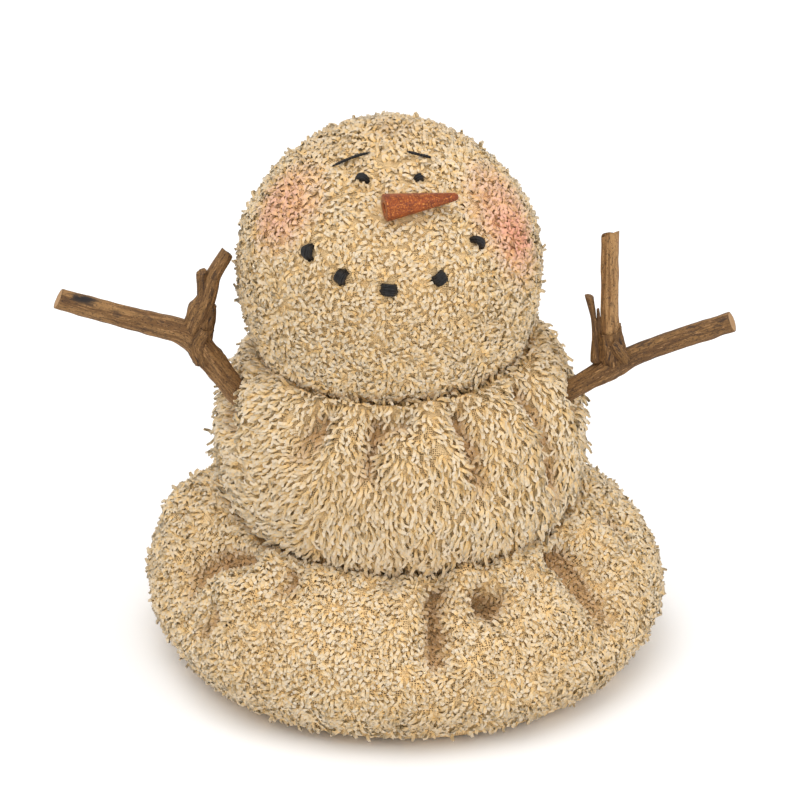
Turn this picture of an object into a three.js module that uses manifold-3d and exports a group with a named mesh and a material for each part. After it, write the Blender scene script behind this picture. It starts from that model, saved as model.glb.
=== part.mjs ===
// Melting snowman plush figure: three stuffed tiers of loop-pile cloth sewn one on another, a puddle-shaped
// base, a slumped middle and a head that looks up, with forked twig arms, a turned wooden carrot nose and
// stitched features. Millimetres, +Z up, the front towards -Y. Left and right are those of the front view.
// The cloth solids reach the tips of the pile. The origin is on the table, under the middle of the figure.
import * as THREE from 'three';
import { mergeVertices } from 'three/addons/utils/BufferGeometryUtils.js';
import Module from 'manifold-3d';

const wasm = await Module();
wasm.setup();

// ---- Driving dimensions ----
const GAP = 0.3; // kept between two pieces that touch
const MERGE = 1e-3; // vertices nearer than this are one
const HEAD = {
  centre: new THREE.Vector3(-1.7, -2.5, 121),
  halfWidth: 42.3, rise: 39.6, drop: 37.5, // the crown above and the chin below its widest ring
  crownPower: 1.75, bowlPower: 2.8, // 2 is an ellipse, and more is squarer
  segments: 36, rings: 16,
};
const MIDDLE = {
  centre: new THREE.Vector3(1.5, -2.5, 64),
  halfWidth: 51, rise: 41, drop: 29.8,
  crownPower: 2.6, bowlPower: 2.3,
  segments: 42, rings: 16,
};
const BASE = {
  centre: new THREE.Vector3(3.2, 0, 0),
  contactRadius: 57, // flat on the table out to here
  hemRadius: 66, hemHeight: 4,
  rimRadius: 71.2, rimHeight: 12.5,
  shoulderRadius: 66, shoulderHeight: 30,
  waistRadius: 51, waistHeight: 46.5,
  topRadius: 42, topHeight: 49.5,
  foldFoot: 20, // the folds fade out below this height
  foldInner: 40, foldOuter: 55, // and inside this range of radius, under the middle
  foldLean: 0.5, foldLift: 0.7, // near the waist they stand out less sideways and more upwards
  segments: 60, rings: 14,
};
// Lobes and valleys of the base: azimuth from the front towards the right, width, and how far they stand out.
const BASE_FOLDS = [
  { azimuth: -112, width: 30, out: 3.5 },
  { azimuth: -68, width: 9, out: -3.2 },
  { azimuth: -38, width: 22, out: 1.6 },
  { azimuth: 8, width: 6, out: -1.6 },
  { azimuth: 38, width: 16, out: -2.2 },
  { azimuth: 58, width: 9, out: -3.4 },
  { azimuth: 95, width: 24, out: 2 },
  { azimuth: 128, width: 9, out: -3 },
  { azimuth: 165, width: 10, out: -2.6 },
  { azimuth: -150, width: 10, out: -3 },
];
const NOSE = {
  length: 20.7, radius: 3.8, tipRadius: 1, chamfer: 0.5, holeRadius: 1.2, holeDepth: 3, segments: 24,
  azimuth: -2.5, elevation: 43.2, // where its wide end lies on the head
  lift: 2.8, // axis above the pile there
  direction: new THREE.Vector3(19.8, 5, 1),
};
const TIP_ROUNDING = 0.6;
const STITCH_PROUD = 0.35; // of a stitch's thickness that stands above the pile
const STITCHES = [
  { name: 'eye_left', azimuth: -21.5, elevation: 58, length: 3.8, width: 1.9, turn: 4 },
  { name: 'eye_right', azimuth: 23, elevation: 57.5, length: 2.9, width: 1.8, turn: 8 },
  { name: 'mouth_stitch_1', azimuth: -36.5, elevation: 22.5, length: 4.6, width: 2.8, turn: 100 },
  { name: 'mouth_stitch_2', azimuth: -19.5, elevation: 16, length: 4.2, width: 3, turn: 75 },
  { name: 'mouth_stitch_3', azimuth: 0, elevation: 12.5, length: 4.8, width: 3.3, turn: -5 },
  { name: 'mouth_stitch_4', azimuth: 20.7, elevation: 15.5, length: 4.4, width: 3.3, turn: 35 },
  { name: 'mouth_stitch_5', azimuth: 42.5, elevation: 25, length: 4.4, width: 2, turn: -55 },
];
const STITCH_THICKNESS = 1.6;
const STITCH_SEGMENTS = 10;
const STITCH_RINGS = 6;
const BROW_RADIUS = 0.45;
const BROW_SIDES = 6;
const BROW_STEPS = 8;
const BROWS = [
  { name: 'brow_left', from: [-48.5, 58.5], middle: [-38, 65.4], to: [-22.5, 70] },
  { name: 'brow_right', from: [22, 70.5], middle: [34, 67.5], to: [43, 64.5] },
];
// Twigs: centre lines from the root outwards, with the radius at each point.
const TWIGS = {
  left_twig_stem: {
    points: [[-35.6, -14.5, 75], [-44.6, -13.5, 86], [-49.7, -12.5, 92.6], [-56.7, -10.5, 100.3],
      [-66.1, -9.5, 103], [-79.1, -8.5, 106.3], [-92.1, -7.5, 109.8]],
    radii: [3.3, 3.3, 3.3, 3.6, 3.1, 3, 2.9], knots: [{ at: 0.36, swell: 0.12 }],
  },
  left_twig_branch: {
    points: [[-56.1, -10.5, 100], [-54.1, -10.1, 105.5], [-51.5, -9.5, 111.4], [-49.9, -9, 117],
      [-45.8, -8.7, 124.5]],
    radii: [3.2, 2.9, 2.5, 2.1, 1.9], knots: [{ at: 0.3, swell: 0.2 }, { at: 0.66, swell: 0.25 }],
  },
  right_twig_stem: {
    points: [[41.4, -11.1, 79.5], [49.6, -10.5, 84.5], [58.2, -9.7, 89.6], [66.1, -8.8, 93.5],
      [78.3, -7.7, 97.9], [92.1, -6.5, 102.3]],
    radii: [2.9, 2.9, 3, 2.85, 2.85, 2.85], knots: [{ at: 0.34, swell: 0.1 }],
  },
  right_twig_branch: {
    points: [[59.3, -9.5, 90.5], [58.9, -9.1, 96], [58.6, -8.7, 103], [58.5, -8.3, 116], [58.5, -7.9, 129.6]],
    radii: [3.3, 3.1, 2.4, 2.35, 2.35], knots: [{ at: 0.14, swell: 0.12 }],
  },
  right_twig_bark: {
    points: [[54.9, -10.1, 92], [54.7, -10.1, 97], [54.6, -9.9, 101], [54, -9.5, 106], [52.9, -9.1, 111.3]],
    radii: [1.1, 1, 0.9, 0.8, 0.95], knots: [],
  },
};
const TWIG_SIDES = 10;
const TWIG_STEP = 4;
const TWIG_LEAST_STEPS = 6;
const TWIG_ROUGHNESS = 0.05; // of the radius: three low ridges that wind along the bark
const TWIG_RIDGES = 3;
const TWIG_WIND = 9;
const KNOT_WIDTH = 0.07; // of a twig's length

const CLOTH = new THREE.MeshStandardMaterial({ color: 0xcfb48c, roughness: 0.95, metalness: 0 });
const NOSE_PAINT = new THREE.MeshStandardMaterial({ color: 0xa35a33, roughness: 0.45, metalness: 0.1 });
const TWIG_BARK = new THREE.MeshStandardMaterial({ color: 0x8a643e, roughness: 0.8, metalness: 0 });
const THREAD = new THREE.MeshStandardMaterial({ color: 0x17120f, roughness: 0.7, metalness: 0 });

// ---- Solids ----
const radians = THREE.MathUtils.degToRad;

// A closed three.js geometry as a solid: shared vertices merged, and triangles with no area dropped.
function solid(geometry) {
  const bare = geometry.clone();
  bare.deleteAttribute('normal');
  bare.deleteAttribute('uv');
  const merged = mergeVertices(bare, MERGE);
  const corners = merged.index.array;
  const kept = [];
  for (let i = 0; i < corners.length; i += 3) {
    const [a, b, c] = [corners[i], corners[i + 1], corners[i + 2]];
    if (a !== b && b !== c && c !== a) kept.push(a, b, c);
  }
  const mesh = new wasm.Mesh({
    numProp: 3,
    vertProperties: new Float32Array(merged.attributes.position.array),
    triVerts: new Uint32Array(kept),
  });
  return new wasm.Manifold(mesh);
}

function geometryOf(manifold) {
  const mesh = manifold.getMesh();
  const geometry = new THREE.BufferGeometry();
  geometry.setAttribute('position', new THREE.BufferAttribute(new Float32Array(mesh.vertProperties), 3));
  geometry.setIndex(new THREE.BufferAttribute(new Uint32Array(mesh.triVerts), 1));
  geometry.computeVertexNormals();
  return geometry;
}

// A profile turned about the vertical axis through the given centre.
function turned(profile, segments, centre) {
  const lathe = new THREE.LatheGeometry(profile, segments).rotateX(Math.PI / 2);
  return lathe.translate(centre.x, centre.y, centre.z);
}

// A stuffed ball: a power curve above and another below its widest ring.
function stuffedBall({ centre, halfWidth, rise, drop, crownPower, bowlPower, segments, rings }, grown = 0) {
  const profile = [];
  for (let ring = 0; ring <= rings; ring += 1) {
    const angle = Math.PI * (ring / rings - 0.5);
    const above = angle > 0;
    const power = 2 / (above ? crownPower : bowlPower);
    const radius = (halfWidth + grown) * Math.cos(angle) ** power;
    const height = ((above ? rise : drop) + grown) * Math.abs(Math.sin(angle)) ** power * Math.sign(angle);
    profile.push(new THREE.Vector2(ring === 0 || ring === rings ? 0 : radius, height));
  }
  return turned(profile, segments, centre);
}

// The point of a stuffed ball's surface that is seen from its centre at an azimuth and an elevation.
function onBall({ centre, halfWidth, rise, drop, crownPower, bowlPower }, azimuth, elevation) {
  const [a, e] = [radians(azimuth), radians(elevation)];
  const direction = new THREE.Vector3(Math.sin(a) * Math.cos(e), -Math.cos(a) * Math.cos(e), Math.sin(e));
  const power = e > 0 ? crownPower : bowlPower;
  const height = e > 0 ? rise : drop;
  const size = (Math.cos(e) / halfWidth) ** power + (Math.abs(Math.sin(e)) / height) ** power;
  return direction.multiplyScalar(size ** (-1 / power)).add(centre);
}

// A frame on the head's surface: its place, with Z outwards and X level, towards the right.
function headFrame(azimuth, elevation) {
  const step = 1;
  const at = (turn, climb) => onBall(HEAD, azimuth + turn, elevation + climb);
  const place = at(0, 0);
  const across = at(step, 0).sub(at(-step, 0)).normalize();
  const up = at(0, step).sub(at(0, -step)).normalize();
  const out = new THREE.Vector3().crossVectors(across, up).normalize();
  const upright = new THREE.Vector3().crossVectors(out, across);
  return new THREE.Matrix4().makeBasis(across, upright, out).setPosition(place);
}

// How far the base's lobes and valleys stand out at an azimuth.
function foldHeight(azimuth) {
  let height = 0;
  for (const fold of BASE_FOLDS) {
    const apart = THREE.MathUtils.euclideanModulo(azimuth - fold.azimuth + 180, 360) - 180;
    height += fold.out * Math.exp(-((apart / fold.width) ** 2));
  }
  return height;
}

// The base: a slumped mound, flat underneath, whose flank swells and sinks in radial folds.
function puddle() {
  const flank = new THREE.SplineCurve([
    new THREE.Vector2(BASE.contactRadius, 0),
    new THREE.Vector2(BASE.hemRadius, BASE.hemHeight),
    new THREE.Vector2(BASE.rimRadius, BASE.rimHeight),
    new THREE.Vector2(BASE.shoulderRadius, BASE.shoulderHeight),
    new THREE.Vector2(BASE.waistRadius, BASE.waistHeight),
    new THREE.Vector2(BASE.topRadius, BASE.topHeight),
  ]).getPoints(BASE.rings);
  const profile = [new THREE.Vector2(0, 0), ...flank, new THREE.Vector2(0, BASE.topHeight)];
  const geometry = turned(profile, BASE.segments, new THREE.Vector3());
  const place = geometry.attributes.position;
  for (let i = 0; i < place.count; i += 1) {
    const [x, y, z] = [place.getX(i), place.getY(i), place.getZ(i)];
    const radius = Math.hypot(x, y);
    const raised = THREE.MathUtils.smoothstep(z, 0, BASE.foldFoot);
    const outside = THREE.MathUtils.smoothstep(radius, BASE.foldInner, BASE.foldOuter);
    const out = foldHeight(THREE.MathUtils.radToDeg(Math.atan2(x, -y))) * raised * outside;
    const lean = z / BASE.topHeight;
    const scale = radius > 0 ? 1 + (out * (1 - lean * BASE.foldLean)) / radius : 1;
    place.setXYZ(i, x * scale, y * scale, z + out * lean * BASE.foldLift);
  }
  return geometry.translate(BASE.centre.x, BASE.centre.y, BASE.centre.z);
}

// A tapered, slightly uneven rod along a curve, flat at both ends.
function twig({ points, radii, knots }, grown = 0) {
  const route = new THREE.CatmullRomCurve3(points.map((point) => new THREE.Vector3(...point)));
  const steps = Math.max(TWIG_LEAST_STEPS, Math.round(route.getLength() / TWIG_STEP));
  const frames = route.computeFrenetFrames(steps, false);
  const rod = new THREE.CylinderGeometry(1, 1, 1, TWIG_SIDES, steps);
  const place = rod.attributes.position;
  for (let i = 0; i < place.count; i += 1) {
    const along = place.getY(i) + 0.5;
    const step = Math.round(along * steps);
    const centre = route.getPointAt(along);
    const last = Math.min(Math.floor(along * (radii.length - 1)), radii.length - 2);
    let radius = THREE.MathUtils.lerp(radii[last], radii[last + 1], along * (radii.length - 1) - last);
    for (const knot of knots) radius *= 1 + knot.swell * Math.exp(-(((along - knot.at) / KNOT_WIDTH) ** 2));
    const [x, z] = [place.getX(i), place.getZ(i)];
    const ridge = Math.sin(TWIG_RIDGES * Math.atan2(z, x) + TWIG_WIND * along);
    if (x !== 0 || z !== 0) radius *= 1 + TWIG_ROUGHNESS * ridge;
    centre.addScaledVector(frames.normals[step], x * (radius + grown));
    centre.addScaledVector(frames.binormals[step], -z * (radius + grown));
    const end = along === 0 ? -grown : (along === 1 ? grown : 0);
    centre.addScaledVector(frames.tangents[step], end);
    place.setXYZ(i, centre.x, centre.y, centre.z);
  }
  return solid(rod);
}

// The carrot nose: a turned cone with a blunt tip and a drilled, chamfered wide end, lying along the head.
function noseCone(grown = 0) {
  const { length, radius, tipRadius, chamfer, holeRadius, holeDepth } = NOSE;
  const hole = [
    new THREE.Vector2(0, holeDepth),
    new THREE.Vector2(holeRadius, holeDepth),
    new THREE.Vector2(holeRadius, 0),
  ];
  const profile = [
    ...(grown > 0 ? [new THREE.Vector2(0, -grown)] : hole),
    new THREE.Vector2(radius - chamfer + grown, -grown),
    new THREE.Vector2(radius + grown, chamfer),
    new THREE.Vector2(tipRadius + grown, length - tipRadius),
    new THREE.Vector2(tipRadius * TIP_ROUNDING + grown, length - tipRadius * (1 - TIP_ROUNDING) / 2 + grown),
    new THREE.Vector2(0, length + grown),
  ];
  const cone = new THREE.LatheGeometry(profile, NOSE.segments);
  const axis = NOSE.direction.clone().normalize();
  const seat = headFrame(NOSE.azimuth, NOSE.elevation);
  const out = new THREE.Vector3().setFromMatrixColumn(seat, 2);
  const start = new THREE.Vector3().setFromMatrixPosition(seat).addScaledVector(out, NOSE.lift);
  const turn = new THREE.Quaternion().setFromUnitVectors(new THREE.Vector3(0, 1, 0), axis);
  return solid(cone.applyQuaternion(turn).translate(start.x, start.y, start.z));
}

// One short stitch: a pad of thread, half sunk in the pile.
function stitch({ azimuth, elevation, length, width, turn }, grown = 0) {
  const pad = new THREE.SphereGeometry(1, STITCH_SEGMENTS, STITCH_RINGS);
  pad.scale(length / 2 + grown, width / 2 + grown, STITCH_THICKNESS / 2 + grown);
  pad.rotateZ(radians(turn)).translate(0, 0, STITCH_THICKNESS * (STITCH_PROUD - 0.5));
  return solid(pad.applyMatrix4(headFrame(azimuth, elevation)));
}

// One brow: a thin line of thread that follows the head.
function brow({ from, middle, to }, grown = 0) {
  const knots = [from, middle, to].map(([azimuth, elevation]) => onBall(HEAD, azimuth, elevation));
  const extrudePath = new THREE.CatmullRomCurve3(knots);
  const section = new THREE.Shape().absarc(0, 0, BROW_RADIUS + grown, 0, 2 * Math.PI);
  const options = { steps: BROW_STEPS, curveSegments: BROW_SIDES, extrudePath };
  return solid(new THREE.ExtrudeGeometry(section, options));
}

// ---- Assembly ----
const nose = noseCone();
const threads = [
  ...STITCHES.map((one) => ({ name: one.name, body: stitch(one), seat: stitch(one, GAP) })),
  ...BROWS.map((one) => ({ name: one.name, body: brow(one), seat: brow(one, GAP) })),
];
let head = solid(stuffedBall(HEAD)).subtract(noseCone(GAP));
for (const thread of threads) head = head.subtract(thread.seat);

const leftStem = twig(TWIGS.left_twig_stem);
const rightStem = twig(TWIGS.right_twig_stem);
const leftStemSeat = twig(TWIGS.left_twig_stem, GAP);
const rightStemSeat = twig(TWIGS.right_twig_stem, GAP);
const leftBranch = twig(TWIGS.left_twig_branch).subtract(leftStemSeat);
const rightBranch = twig(TWIGS.right_twig_branch).subtract(rightStemSeat);
const bark = twig(TWIGS.right_twig_bark).subtract(rightStemSeat).subtract(twig(TWIGS.right_twig_branch, GAP));

const middle = solid(stuffedBall(MIDDLE))
  .subtract(solid(stuffedBall(HEAD, GAP))).subtract(leftStemSeat).subtract(rightStemSeat);
const base = solid(puddle()).subtract(solid(stuffedBall(MIDDLE, GAP)));

const snowman = new THREE.Group();
function place(name, body, material) {
  const mesh = new THREE.Mesh(geometryOf(body), material);
  mesh.name = name;
  snowman.add(mesh);
}
place('base', base, CLOTH);
place('middle', middle, CLOTH);
place('head', head, CLOTH);
place('carrot_nose', nose, NOSE_PAINT);
for (const thread of threads) place(thread.name, thread.body, THREAD);
place('left_twig_stem', leftStem, TWIG_BARK);
place('left_twig_branch', leftBranch, TWIG_BARK);
place('right_twig_stem', rightStem, TWIG_BARK);
place('right_twig_branch', rightBranch, TWIG_BARK);
place('right_twig_bark', bark, TWIG_BARK);

export default snowman;
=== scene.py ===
import math

import bpy
import numpy as np
from mathutils import Matrix, Vector
from mathutils import noise
from mathutils.bvhtree import BVHTree


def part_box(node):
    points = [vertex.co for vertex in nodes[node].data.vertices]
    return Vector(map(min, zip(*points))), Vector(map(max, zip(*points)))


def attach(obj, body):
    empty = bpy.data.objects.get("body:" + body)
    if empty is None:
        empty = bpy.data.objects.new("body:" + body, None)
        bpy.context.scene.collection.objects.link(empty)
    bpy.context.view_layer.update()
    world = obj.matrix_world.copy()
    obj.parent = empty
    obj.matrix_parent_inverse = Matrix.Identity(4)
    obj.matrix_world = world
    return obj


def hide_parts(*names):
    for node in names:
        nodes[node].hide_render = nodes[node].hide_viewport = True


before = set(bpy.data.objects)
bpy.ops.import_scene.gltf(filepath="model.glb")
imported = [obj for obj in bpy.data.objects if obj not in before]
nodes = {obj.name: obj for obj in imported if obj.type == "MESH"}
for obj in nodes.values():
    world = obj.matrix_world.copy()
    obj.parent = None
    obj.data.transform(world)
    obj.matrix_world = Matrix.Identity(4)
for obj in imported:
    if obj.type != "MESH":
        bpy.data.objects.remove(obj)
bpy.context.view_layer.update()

MM = 0.001
PILE = 1.6 * MM  # height of the looped pile over its knitted ground
FLOOR_GAP = 0.3 * MM  # between a skin's bottom and the floor
YARN_SIDES = 3
PIECE_TRIANGLES = 190000  # at most, in one piece of pile
FLUFF = 0.95  # how far the light sees the whole pile rather than each end of yarn
BALD_ABOVE = 0.7  # where slow noise passes this, the knitted ground shows
STRAY_SHARE = 0.1  # of the ends stand up out of the rest
HEAD_CENTRE = np.array((-1.7, -2.5, 121)) * MM
MIDDLE_CENTRE = np.array((1.5, -2.5, 64)) * MM
BASE_CENTRE = np.array((3.2, 0, 18)) * MM


# ---- Small tools ----
def only(piece):
    """Selects one piece and nothing else."""
    bpy.ops.object.select_all(action="DESELECT")
    piece.select_set(True)
    bpy.context.view_layer.objects.active = piece


def primitive(name, add, **settings):
    """Adds a primitive mesh with nothing else selected."""
    bpy.ops.object.select_all(action="DESELECT")
    add(**settings)
    piece = bpy.context.object
    piece.name = name
    return piece


def subdivide(piece):
    """Makes a piece's mesh one step finer and rounder."""
    finer = piece.modifiers.new("finer", "SUBSURF")
    finer.levels = 1
    finer.render_levels = 1
    only(piece)
    bpy.ops.object.modifier_apply(modifier=finer.name)


def stand_in(piece, node):
    """Puts a piece on the root body and hides the CAD node whose place it takes."""
    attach(piece, "root")
    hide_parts(node)


def points_of(piece):
    found = np.empty(len(piece.data.vertices) * 3, np.float32)
    piece.data.vertices.foreach_get("co", found)
    return found.reshape(-1, 3).astype(float)


def move_points(piece, places):
    piece.data.vertices.foreach_set("co", np.asarray(places, np.float32).ravel())
    piece.data.update()


def unit(vectors):
    return vectors / np.maximum(np.linalg.norm(vectors, axis=-1, keepdims=True), 1e-9)


def smooth_step(value, low, high):
    share = np.clip((value - low) / (high - low), 0, 1)
    return share * share * (3 - 2 * share)


def towards(azimuth, elevation):
    """Unit vector at an azimuth, from the front towards the right, and an elevation, in degrees."""
    a, e = np.radians(azimuth), np.radians(elevation)
    return np.stack((np.sin(a) * np.cos(e), -np.cos(a) * np.cos(e), np.sin(e)), -1)


def surface_of(piece):
    piece.data.calc_loop_triangles()
    triangles = [tuple(t.vertices) for t in piece.data.loop_triangles]
    return BVHTree.FromPolygons([v.co.copy() for v in piece.data.vertices], triangles)


def slow_noise(places, size, seed):
    """Smooth noise from -1 to 1 at each place, with lumps of the given size."""
    shift = Vector((seed * 17.3, seed * 5.1, seed * 9.7))
    return np.array([noise.noise(Vector(p) / size + shift) for p in places])


# ---- The three stuffed skins ----
def cast_grid(node, centre, segments, rings):
    """A CAD node's surface as rings of points, evenly spaced from its bottom pole to its top pole."""
    surface = surface_of(nodes[node])
    elevations = np.linspace(-90, 90, 3 * rings + 1)
    grid = np.empty((rings + 1, segments, 3))
    for segment in range(segments):
        rays = towards(np.full(elevations.shape, 360 * segment / segments), elevations)
        hits = [surface.ray_cast(Vector(centre), Vector(ray))[0] for ray in rays]
        line = np.array(hits)
        length = np.concatenate(([0], np.cumsum(np.linalg.norm(np.diff(line, axis=0), axis=1))))
        even = np.linspace(0, length[-1], rings + 1)
        for axis in range(3):
            grid[:, segment, axis] = np.interp(even, length, line[:, axis])
    grid[0] = grid[0].mean(0)
    grid[-1] = grid[-1].mean(0)
    return grid


def relax(grid, times):
    for _ in range(times):
        around = (np.roll(grid, 1, 1) + np.roll(grid, -1, 1)) / 2
        along = (grid[2:] + grid[:-2]) / 2
        grid[1:-1] = 0.5 * grid[1:-1] + 0.25 * around[1:-1] + 0.25 * along
    return grid


def grid_normals(grid):
    """Outward unit normals of a ring grid."""
    around = np.roll(grid, -1, 1) - np.roll(grid, 1, 1)
    along = np.empty_like(grid)
    along[1:-1] = grid[2:] - grid[:-2]
    along[0] = grid[1] - np.roll(grid[1], grid.shape[1] // 2, 0)
    along[-1] = np.roll(grid[-2], grid.shape[1] // 2, 0) - grid[-2]
    normals = unit(np.cross(around, along))
    normals[0] = (0, 0, -1)
    normals[-1] = (0, 0, 1)
    return normals


def line_distance(places, line):
    """Distance of each place from a polyline, and how far along it the nearest point is, from 0 to 1."""
    nearest = np.full(len(places), np.inf)
    share = np.zeros(len(places))
    for i in range(len(line) - 1):
        edge = line[i + 1] - line[i]
        t = np.clip(((places - line[i]) @ edge) / (edge @ edge), 0, 1)
        apart = np.linalg.norm(places - line[i] - t[:, None] * edge, axis=1)
        closer = apart < nearest
        nearest[closer] = apart[closer]
        share[closer] = (i + t[closer]) / (len(line) - 1)
    return nearest, share


BROAD = 3  # the valley round a fold is this many times wider than its crease
CREASE_SHARE = 0.65  # of a fold's depth is its crease, and the rest its valley
SEAM_HOLD = 0.65  # how far a seam keeps a fold from sinking


def sink_folds(grid, centre, surface, folds, seam):
    """Sinks the folds into a skin and puffs it up beside them. Returns the skin and how firmly it is held."""
    shape = grid.shape
    places = grid.reshape(-1, 3)
    normals = grid_normals(grid).reshape(-1, 3)
    moved = np.zeros(len(places))
    held = np.zeros(len(places))
    for one in folds:
        ends = [surface.ray_cast(Vector(centre), Vector(towards(*at)))[0] for at in one["line"]]
        line = np.array([np.array(end) for end in ends])
        apart, share = line_distance(places, line)
        width = one["width"] * MM
        fade = np.clip(np.minimum(share, 1 - share) * one["fade"], 0, 1) ** 0.6
        fade = np.maximum(fade, one["ends"])
        reach = np.maximum(apart - PILE, 0) / width
        valley = CREASE_SHARE * np.exp(-reach ** 2) + (1 - CREASE_SHARE) * np.exp(-(reach / BROAD) ** 2)
        moved -= one["depth"] * MM * fade * valley
        puff = np.exp(-((reach - 3.2) / 1.5) ** 2)
        moved += one["puff"] * one["depth"] * MM * fade * puff
        held = np.maximum(held, fade * np.exp(-(reach / 1.2) ** 2))
    moved = moved * (1 - SEAM_HOLD * seam.ravel())
    places = places + normals * moved[:, None]
    return places.reshape(shape), held.reshape(shape[:2])


def skin(name, node, neighbours, centre, segments, rings, folds, lumps, seed):
    """A tier's stuffed cloth: its CAD solid less the pile, with its folds. Returns the piece and its grid."""
    surface = surface_of(nodes[node])
    grid = cast_grid(node, centre, segments, rings)
    normals = grid_normals(grid)
    underside = smooth_step(-normals[..., 2], 0.75, 0.95) * (grid[..., 2] < 8 * MM)
    seam = np.zeros(underside.shape)
    for other in neighbours:
        near = surface_of(nodes[other])
        apart = np.array([near.find_nearest(Vector(p))[3] for p in grid.reshape(-1, 3)]).reshape(seam.shape)
        seam = np.maximum(seam, 1 - smooth_step(apart, 1 * MM, 5 * MM))
    hem = smooth_step(-normals[..., 2], -0.25, 0.5) * (1 - underside)
    inset = PILE * (1 - 0.85 * np.maximum(underside, seam)) + lumps["hem"] * MM * hem
    grid = relax(grid - normals * inset[..., None], 4)
    wave = slow_noise(grid.reshape(-1, 3), lumps["size"] * MM, seed).reshape(grid.shape[:2])
    grid = grid + grid_normals(grid) * (wave * lumps["height"] * MM * (1 - underside))[..., None]
    grid, held = sink_folds(grid, centre, surface, folds, seam)
    grid[..., 2] = np.maximum(grid[..., 2], FLOOR_GAP)
    held = np.maximum(held, np.maximum(underside, seam))

    sphere = {"segments": segments, "ring_count": rings, "radius": 1}
    piece = primitive(name, bpy.ops.mesh.primitive_uv_sphere_add, **sphere)
    ball = points_of(piece)
    ring = np.rint(np.degrees(np.arccos(np.clip(-ball[:, 2], -1, 1))) / 180 * rings).astype(int)
    turn = np.degrees(np.arctan2(ball[:, 0], -ball[:, 1]))
    segment = np.rint(turn / 360 * segments).astype(int) % segments
    move_points(piece, grid[ring, segment])
    puffed = stuff(piece, held[ring, segment])
    grid[ring, segment] = puffed
    grid[0] = grid[0].mean(0)
    grid[-1] = grid[-1].mean(0)
    piece.data.uv_layers[0].name = "OFBake"
    subdivide(piece)
    bpy.ops.object.shade_smooth()
    return piece, grid


SIM_SCALE = 10  # the cloth is simulated at this many times its size
SIM_FRAMES = 20
PRESSURE = 4
STIFFNESS = {"tension": 8, "compression": 8, "shear": 3, "bending": 0.4}
PIN_LEVELS = 10
PUFF_LIMIT = 1.6 * MM


def stuff(piece, held):
    """Blows the cloth up a little by cloth simulation, with its folds held. Returns its new points."""
    start = points_of(piece)
    move_points(piece, start * SIM_SCALE)
    pins = piece.vertex_groups.new(name="held")
    for level in range(1, PIN_LEVELS + 1):
        chosen = np.nonzero(np.rint(held * PIN_LEVELS) == level)[0]
        pins.add([int(i) for i in chosen], level / PIN_LEVELS, "REPLACE")
    cloth = piece.modifiers.new("stuffing", "CLOTH")
    cloth.settings.quality = 6
    cloth.settings.mass = 0.15
    cloth.settings.use_pressure = True
    cloth.settings.uniform_pressure_force = PRESSURE
    for kind, value in STIFFNESS.items():
        setattr(cloth.settings, kind + "_stiffness", value)
    cloth.settings.vertex_group_mass = pins.name
    cloth.settings.effector_weights.gravity = 0
    cloth.collision_settings.use_collision = False
    cloth.point_cache.frame_start = 1
    cloth.point_cache.frame_end = SIM_FRAMES
    for number in range(1, SIM_FRAMES + 1):
        bpy.context.scene.frame_set(number)
    only(piece)
    bpy.ops.object.modifier_apply(modifier=cloth.name)
    bpy.context.scene.frame_set(1)
    moved = points_of(piece) / SIM_SCALE - start
    far = np.linalg.norm(moved, axis=1, keepdims=True)
    moved = moved * np.minimum(1, PUFF_LIMIT / np.maximum(far, 1e-9))
    end = start + moved
    end[:, 2] = np.maximum(end[:, 2], FLOOR_GAP)
    print("stuffed", piece.name, "mean", round(far.mean() / MM, 3), "most", round(far.max() / MM, 2))
    move_points(piece, end)
    piece.vertex_groups.clear()
    return end


# ---- The pile ----
UNEVEN = 0.32  # of a pitch, at most, that an end of yarn strays from its row


def sow(grid, pitch, chance):
    """Where the yarn comes out of the ground: staggered rows a pitch apart, a little uneven."""
    rings = grid.shape[0] - 1
    closed = np.concatenate((grid, grid[:, :1]), 1)
    meridian = np.linalg.norm(np.diff(grid, axis=0), axis=2).sum(0).mean()
    rows = int(meridian / pitch)
    us, vs = [], []
    for row in range(rows):
        v = (row + 0.5) / rows * rings
        low = int(v)
        ring = closed[low] * (1 - v + low) + closed[low + 1] * (v - low)
        length = np.concatenate(([0], np.cumsum(np.linalg.norm(np.diff(ring, axis=0), axis=1))))
        count = max(3, int(length[-1] / pitch))
        stations = (np.arange(count) + 0.5 * (row % 2) + chance.uniform(-UNEVEN, UNEVEN, count)) / count
        us.append(np.interp((stations % 1) * length[-1], length, np.arange(len(length))))
        vs.append(v + chance.uniform(-UNEVEN, UNEVEN, count) * rings / rows)
    return np.concatenate(us), np.clip(np.concatenate(vs), 0, rings - 1e-6)


def on_grid(values, u, v):
    """The values of a ring grid between its points."""
    segments = values.shape[1]
    left, low = u.astype(int) % segments, v.astype(int)
    across, up = (u - u.astype(int))[:, None], (v - low)[:, None]
    right = (left + 1) % segments
    bottom = values[low, left] * (1 - across) + values[low, right] * across
    top = values[low + 1, left] * (1 - across) + values[low + 1, right] * across
    return bottom * (1 - up) + top * up


def buried(places, solid, depth):
    """Which places lie inside a CAD solid by more than the given depth, or, if that is negative, near it."""
    inside = np.zeros(len(places), bool)
    surface = surface_of(nodes[solid])
    low, high = (np.array(corner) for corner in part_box(solid))
    reach = max(0, -depth)
    near = np.nonzero(np.all((places > low - reach) & (places < high + reach), axis=1))[0]
    for i in near:
        at, normal, _, apart = surface.find_nearest(Vector(places[i]))
        sunk = apart if (Vector(places[i]) - at).dot(normal) < 0 else -apart
        inside[i] = sunk > depth
    return inside


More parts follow.
